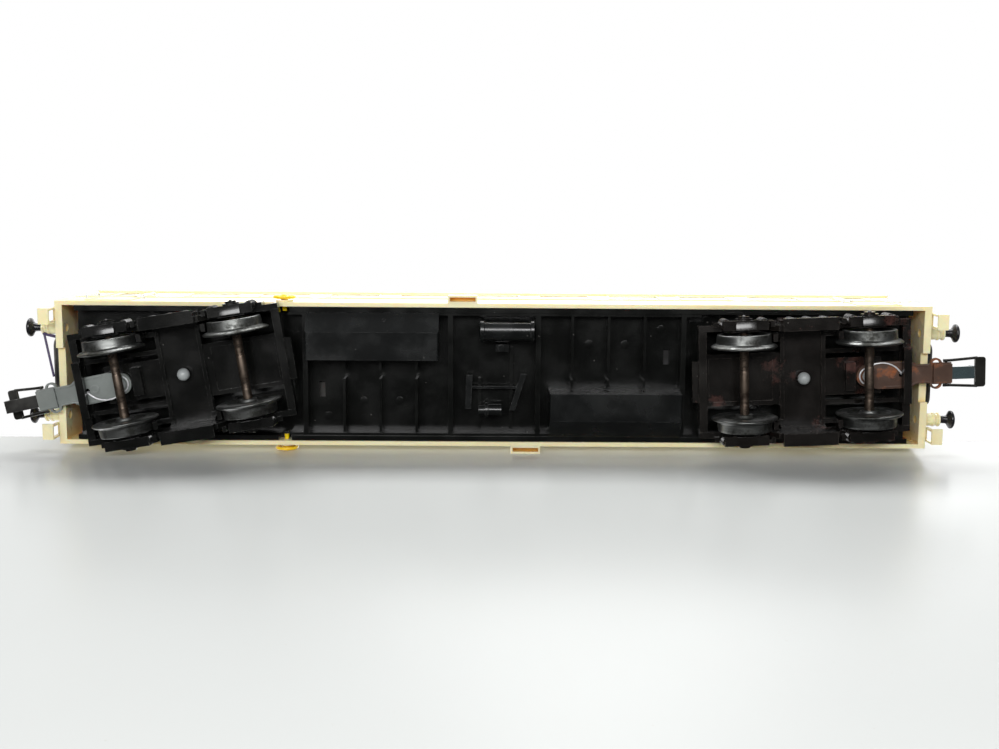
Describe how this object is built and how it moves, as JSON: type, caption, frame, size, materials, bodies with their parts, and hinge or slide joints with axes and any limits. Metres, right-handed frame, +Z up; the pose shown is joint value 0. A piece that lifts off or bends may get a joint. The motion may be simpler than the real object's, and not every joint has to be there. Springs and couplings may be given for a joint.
{
  "type": "model passenger coach",
  "caption": "Model railway passenger coach on swivelling bogies, with rolling wheelsets, loop couplers, sprung buffers and a windowed body over a ribbed floor.",
  "frame": {"origin": "midway between the bogie pivots, in the plane under the wheel flanges", "axes": "+X along the coach, +Y across it, +Z up from the track"},
  "size_m": [0.2054, 0.0334, 0.047],
  "materials": {
    "cream_plastic": "semi-gloss moulded, slightly translucent",
    "roof_grey": "matt moulded",
    "glazing": "clear",
    "gangway_rubber": "matt",
    "pivot_grey": "satin",
    "floor_black": "semi-gloss moulded",
    "box_black": "semi-gloss moulded",
    "wheel_yellow": "gloss, translucent",
    "hose_purple": "satin",
    "interior_brown": "matt",
    "ballast_steel": "mill finish",
    "buffer_black": "satin",
    "bogie_black": "satin moulded",
    "bogie_weathered": "satin with red-brown weathering",
    "axle_brown": "browned",
    "wheel_steel": "dark turned",
    "coupler_grey": "satin",
    "coupler_rusty": "weathered",
    "hook_black": "blackened",
    "hook_blue": "blued",
    "loop_dark": "blackened",
    "spring_wire": "bright wire"
  },
  "bodies": {
    "coach_body": {"air_reservoir": "box_black", "ballast_weight": "ballast_steel", "battery_box_left": "box_black", "battery_box_right": "box_black", "body_shell": "cream_plastic", "brake_cylinder": "box_black", "brake_hose": "hose_purple", "brake_levers": "box_black", "buffer_sleeves": "cream_plastic", "chassis_floor": "floor_black", "corner_steps": "cream_plastic", "distributor_valve": "box_black", "end_door_left": "cream_plastic", "end_door_right": "cream_plastic", "gangway_left": "gangway_rubber", "gangway_right": "gangway_rubber", "glazing_far": "glazing", "glazing_near": "glazing", "handwheel_bosses": "cream_plastic", "handwheel_far": "wheel_yellow", "handwheel_near": "wheel_yellow", "interior_floor": "interior_brown", "middle_steps": "cream_plastic", "partitions": "interior_brown", "pivot_pin_left": "pivot_grey", "pivot_pin_right": "pivot_grey", "roof": "roof_grey", "roof_vents": "roof_grey", "seats": "interior_brown"},
    "bogie_left": {"bogie_frame_left": "bogie_black", "coupler_pin_left": "pivot_grey"},
    "wheelset_left_inner": {"axle_left_inner": "axle_brown", "wheels_left_inner": "wheel_steel"},
    "wheelset_left_outer": {"axle_left_outer": "axle_brown", "wheels_left_outer": "wheel_steel"},
    "coupler_left": {"coupler_shank_left": "coupler_grey", "coupler_hook_left": "hook_black", "coupler_spring_left": "spring_wire"},
    "loop_left": {"coupler_loop_left": "loop_dark"},
    "buffer_left_near": {"buffer_left_near": "buffer_black"},
    "buffer_left_far": {"buffer_left_far": "buffer_black"},
    "bogie_right": {"bogie_frame_right": "bogie_weathered", "coupler_pin_right": "pivot_grey"},
    "wheelset_right_inner": {"axle_right_inner": "axle_brown", "wheels_right_inner": "wheel_steel"},
    "wheelset_right_outer": {"axle_right_outer": "axle_brown", "wheels_right_outer": "wheel_steel"},
    "coupler_right": {"coupler_shank_right": "coupler_rusty", "coupler_hook_right": "hook_blue", "coupler_spring_right": "spring_wire"},
    "loop_right": {"coupler_loop_right": "loop_dark"},
    "buffer_right_near": {"buffer_right_near": "buffer_black"},
    "buffer_right_far": {"buffer_right_far": "buffer_black"}
  },
  "joints": [
    {"name": "bogie_left_swivel", "type": "hinge", "parent": "coach_body", "child": "bogie_left", "pos_m": [-0.0647, 0, 0.0112], "axis": [0, 0, 1], "range_deg": [-1.8, 20.2]},
    {"name": "wheelset_left_inner_spin", "type": "hinge", "parent": "bogie_left", "child": "wheelset_left_inner", "pos_m": [-0.05192, -0.00207, 0.0068], "axis": [-0.1599, -0.9871, 0], "continuous": true},
    {"name": "wheelset_left_outer_spin", "type": "hinge", "parent": "bogie_left", "child": "wheelset_left_outer", "pos_m": [-0.07748, 0.00207, 0.0068], "axis": [-0.1599, -0.9871, 0], "continuous": true},
    {"name": "coupler_left_swing", "type": "hinge", "parent": "bogie_left", "child": "coupler_left", "pos_m": [-0.07793, 0.00214, 0.0097], "axis": [0, 0, -1], "range_deg": [-10.8, 5.2], "stiffness_Nm_per_rad": 0.0005, "springref_deg": -2.8},
    {"name": "coupler_loop_left_lift", "type": "hinge", "parent": "coupler_left", "child": "loop_left", "pos_m": [-0.09407, 0.00557, 0.0097], "axis": [0.2079, 0.9781, 0], "range_deg": [-8, 2]},
    {"name": "buffer_left_near_plunge", "type": "slide", "parent": "coach_body", "child": "buffer_left_near", "axis": [1, 0, 0], "range_m": [0, 0.0008], "stiffness_N_per_m": 200},
    {"name": "buffer_left_far_plunge", "type": "slide", "parent": "coach_body", "child": "buffer_left_far", "axis": [1, 0, 0], "range_m": [0, 0.0008], "stiffness_N_per_m": 200},
    {"name": "bogie_right_swivel", "type": "hinge", "parent": "coach_body", "child": "bogie_right", "pos_m": [0.0647, 0, 0.0112], "axis": [0, 0, 1], "range_deg": [-8.5, 13.5]},
    {"name": "wheelset_right_inner_spin", "type": "hinge", "parent": "bogie_right", "child": "wheelset_right_inner", "pos_m": [0.05176, 0.00056, 0.0068], "axis": [0.0436, 0.999, 0], "continuous": true},
    {"name": "wheelset_right_outer_spin", "type": "hinge", "parent": "bogie_right", "child": "wheelset_right_outer", "pos_m": [0.07764, -0.00056, 0.0068], "axis": [0.0436, 0.999, 0], "continuous": true},
    {"name": "coupler_right_swing", "type": "hinge", "parent": "bogie_right", "child": "coupler_right", "pos_m": [0.07809, -0.00058, 0.0097], "axis": [0, 0, -1], "range_deg": [-8, 8], "stiffness_Nm_per_rad": 0.0005},
    {"name": "coupler_loop_right_lift", "type": "hinge", "parent": "coupler_right", "child": "loop_right", "pos_m": [0.09457, -0.0013, 0.0097], "axis": [-0.0436, -0.999, 0], "range_deg": [0, 55]},
    {"name": "buffer_right_near_plunge", "type": "slide", "parent": "coach_body", "child": "buffer_right_near", "axis": [1, 0, 0], "range_m": [-0.0008, 0], "stiffness_N_per_m": 200},
    {"name": "buffer_right_far_plunge", "type": "slide", "parent": "coach_body", "child": "buffer_right_far", "axis": [1, 0, 0], "range_m": [-0.0008, 0], "stiffness_N_per_m": 200}
  ]
}
